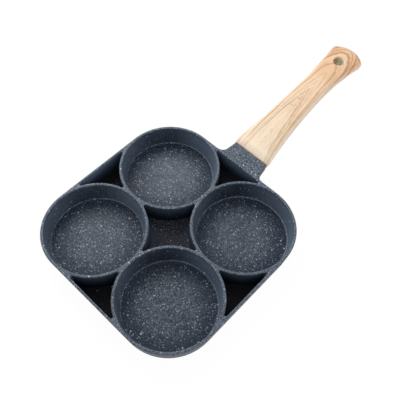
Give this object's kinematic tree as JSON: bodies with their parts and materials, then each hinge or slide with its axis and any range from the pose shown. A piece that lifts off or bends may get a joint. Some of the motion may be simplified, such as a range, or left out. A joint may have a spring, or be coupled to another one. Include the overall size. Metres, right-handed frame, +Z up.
{
  "type": "egg pan",
  "caption": "Square non-stick frying pan with round egg cups, drain pockets between them and a wood-look handle with a hanging hole.",
  "frame": {"origin": "centre of the pan's flat base, on the surface that it stands on", "axes": "+X along the handle from the pan's centre to the tail, +Z up out of the cups, +Y to the left of the handle"},
  "size_m": [0.3597, 0.1882, 0.0527],
  "materials": {
    "coating": "matt dark blue-grey non-stick coating with fine pale stone specks, on cast aluminium",
    "base_steel": "turned stainless steel",
    "wood_look": "satin heat-proof moulding with a pale wood grain",
    "screw_steel": "zinc-plated steel"
  },
  "bodies": {
    "root": {"pan_body": "coating", "base_plate": "base_steel", "handle_grip": "wood_look", "handle_screw": "screw_steel", "split_washer": "screw_steel"}
  },
  "joints": []
}
